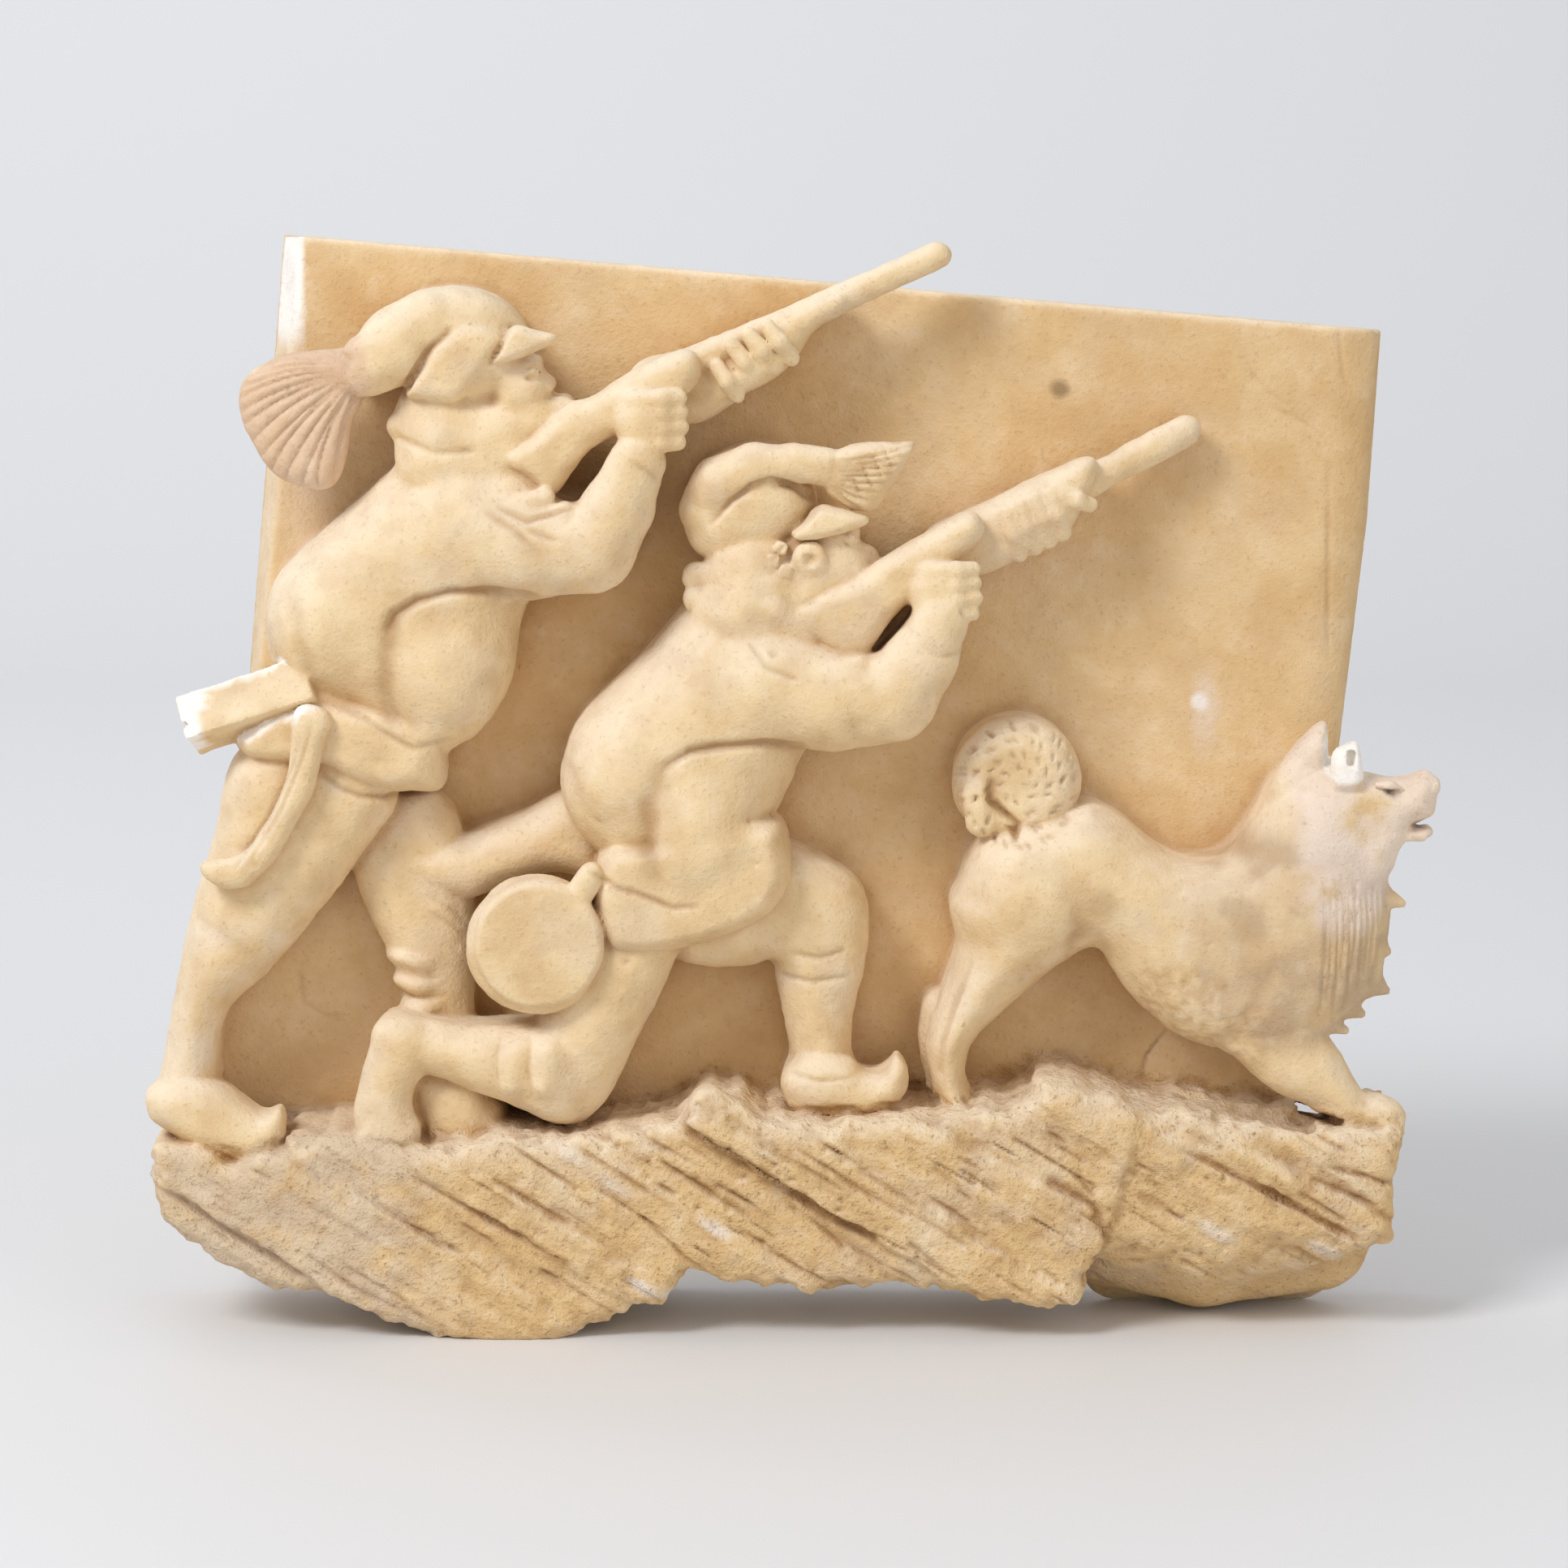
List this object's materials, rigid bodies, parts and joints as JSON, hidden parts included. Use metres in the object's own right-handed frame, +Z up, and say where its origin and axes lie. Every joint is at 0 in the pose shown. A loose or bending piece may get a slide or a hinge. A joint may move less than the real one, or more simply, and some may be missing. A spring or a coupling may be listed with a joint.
{
  "type": "plaster relief",
  "caption": "Toned plaster relief of hunters aiming up to the right and a straining dog on a layered rock ledge, cast with its leaning back slab; stands by itself.",
  "frame": {"origin": "centre of the bounding box at the bottom, on the surface that the relief stands on", "axes": "+X to the viewer's right along the slab, +Y from the carved front towards the flat back, +Z up as it stands"},
  "size_m": [0.4079, 0.0789, 0.3481],
  "materials": {
    "plaster": "matt toned plaster, warm ochre with paler cream on the figures, bare white plaster at the chips"
  },
  "bodies": {
    "root": {"plaster_relief": "plaster"}
  },
  "joints": []
}
